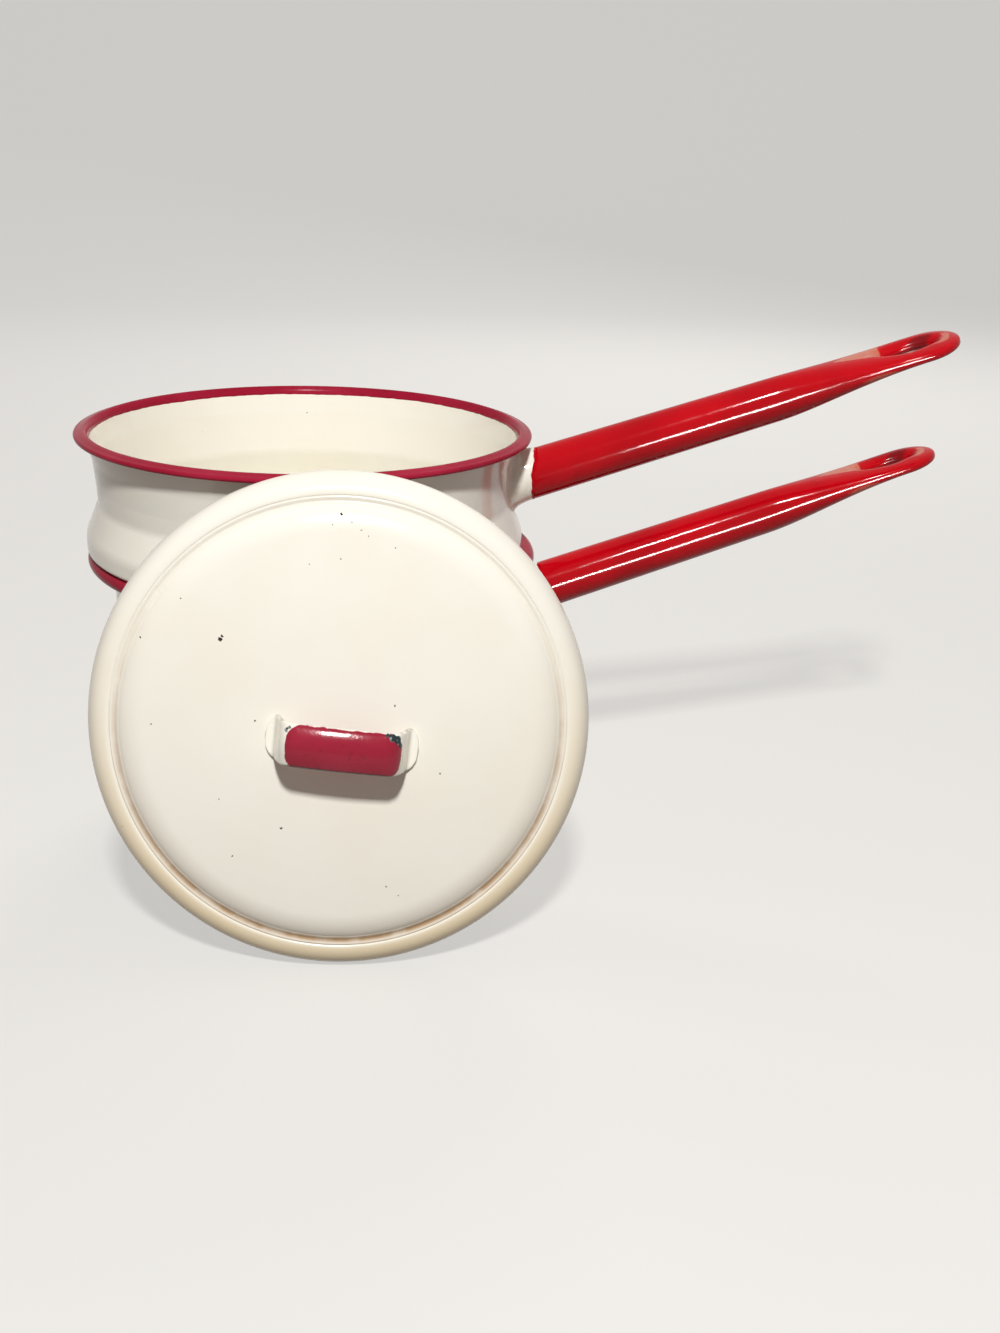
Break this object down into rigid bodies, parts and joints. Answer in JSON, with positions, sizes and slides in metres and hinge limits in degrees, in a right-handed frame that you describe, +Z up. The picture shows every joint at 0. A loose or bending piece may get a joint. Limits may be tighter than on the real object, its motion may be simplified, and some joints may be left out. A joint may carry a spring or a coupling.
{
  "type": "double boiler",
  "caption": "Enamelled steel double boiler: a long-handled pan nested in a matching water pot, red rims, and a domed lid with a strap handle leaning in front.",
  "frame": {"origin": "centre of the lower pot's flat base, on the surface that it stands on", "axes": "+Z up, along the pot's axis; +X along the lower pot's handle, seen from above; the lid leans on the -Y side"},
  "size_m": [0.351, 0.2377, 0.2117],
  "materials": {
    "ivory_enamel": "glossy vitreous enamel on steel sheet",
    "crimson_enamel": "glossy vitreous enamel on steel sheet",
    "red_enamel": "glossy vitreous enamel on steel tube"
  },
  "bodies": {
    "lower_pot": {"lower_pot_body": "ivory_enamel", "lower_pot_rim": "crimson_enamel", "lower_handle_root": "ivory_enamel", "lower_handle": "red_enamel"},
    "upper_pan": {"upper_pan_body": "ivory_enamel", "upper_pan_rim": "crimson_enamel", "upper_handle_root": "ivory_enamel", "upper_handle": "red_enamel"},
    "lid": {"lid_body": "ivory_enamel", "lid_handle": "crimson_enamel"}
  },
  "joints": [
    {"name": "pan_lift", "type": "slide", "parent": "lower_pot", "child": "upper_pan", "axis": [0, 0, 1], "range_m": [0, 0.12]},
    {"name": "lid_lift", "type": "slide", "parent": "lower_pot", "child": "lid", "axis": [0, 0, 1], "range_m": [0, 0.2]}
  ]
}
